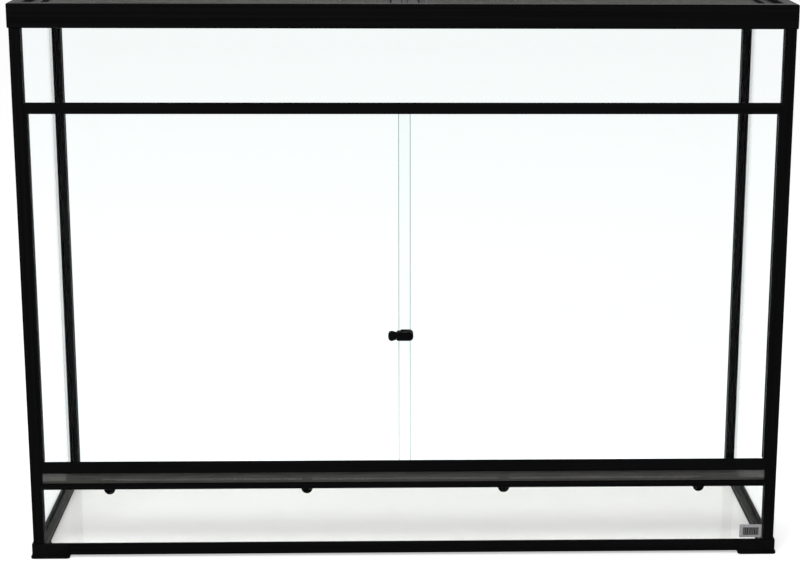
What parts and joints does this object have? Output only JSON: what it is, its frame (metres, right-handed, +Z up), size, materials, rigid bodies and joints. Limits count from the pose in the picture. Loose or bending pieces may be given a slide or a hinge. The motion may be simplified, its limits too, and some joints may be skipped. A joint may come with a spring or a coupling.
{
  "type": "terrarium cabinet",
  "caption": "Wide clear glass terrarium cabinet in slim black profiles, with overlapping sliding front doors, a small lock, an air strip under the doors and lift-out top screens.",
  "frame": {"origin": "on the floor, under the middle of the whole cabinet's box, lock and feet included", "axes": "+X to the right along the width, +Y from the doors to the back, +Z up"},
  "size_m": [1.2294, 0.4044, 0.907],
  "materials": {
    "frame_profile": "satin black extruded plastic with fine lengthwise lines",
    "moulding": "black moulded plastic, slightly rougher than the profiles",
    "glass": "clear float glass with a faint green edge",
    "mesh": "dark grey wire mesh"
  },
  "bodies": {
    "cabinet": {"post_front_left": "frame_profile", "post_front_right": "frame_profile", "post_back_right": "frame_profile", "post_back_left": "frame_profile", "base_rail_front": "frame_profile", "base_rail_right": "frame_profile", "base_rail_back": "frame_profile", "base_rail_left": "frame_profile", "foot_front_left": "moulding", "foot_front_right": "moulding", "foot_back_right": "moulding", "foot_back_left": "moulding", "top_rail_front": "frame_profile", "top_rail_right": "frame_profile", "top_rail_back": "frame_profile", "top_rail_left": "frame_profile", "screen_ledge_front": "frame_profile", "screen_ledge_right": "frame_profile", "screen_ledge_back": "frame_profile", "screen_ledge_left": "frame_profile", "top_key_front_left": "moulding", "top_key_front_right": "moulding", "top_key_back_right": "moulding", "top_key_back_left": "moulding", "lower_front_panel": "glass", "upper_front_panel": "glass", "right_panel": "glass", "back_panel": "glass", "left_panel": "glass", "floor_panel": "glass", "vent_sill": "frame_profile", "lower_door_track": "frame_profile", "upper_door_track": "frame_profile", "vent_strip": "mesh", "vent_clip_outer_left": "moulding", "vent_clip_inner_left": "moulding", "vent_clip_inner_right": "moulding", "vent_clip_outer_right": "moulding", "door_channel_left": "frame_profile", "door_channel_right": "frame_profile", "top_cross_bar": "frame_profile"},
    "front_door": {"left_door": "glass", "lock_body": "moulding"},
    "lock_turn": {"lock_knob": "moulding"},
    "rear_door": {"right_door": "glass"},
    "left_screen": {"screen_frame_left": "frame_profile", "screen_grille_left": "mesh"},
    "right_screen": {"screen_frame_right": "frame_profile", "screen_grille_right": "mesh"}
  },
  "joints": [
    {"name": "left_door_slide", "type": "slide", "parent": "cabinet", "child": "front_door", "axis": [1, 0, 0], "range_m": [0, 0.57]},
    {"name": "right_door_slide", "type": "slide", "parent": "cabinet", "child": "rear_door", "axis": [-1, 0, 0], "range_m": [0, 0.57]},
    {"name": "lock_knob_turn", "type": "hinge", "parent": "front_door", "child": "lock_turn", "pos_m": [-0.022, -0.19385, 0.3784], "axis": [1, 0, 0], "range_deg": [0, 90]},
    {"name": "left_screen_lift", "type": "slide", "parent": "cabinet", "child": "left_screen", "axis": [0, 0, 1], "range_m": [0, 0.06]},
    {"name": "right_screen_lift", "type": "slide", "parent": "cabinet", "child": "right_screen", "axis": [0, 0, 1], "range_m": [0, 0.06]}
  ]
}
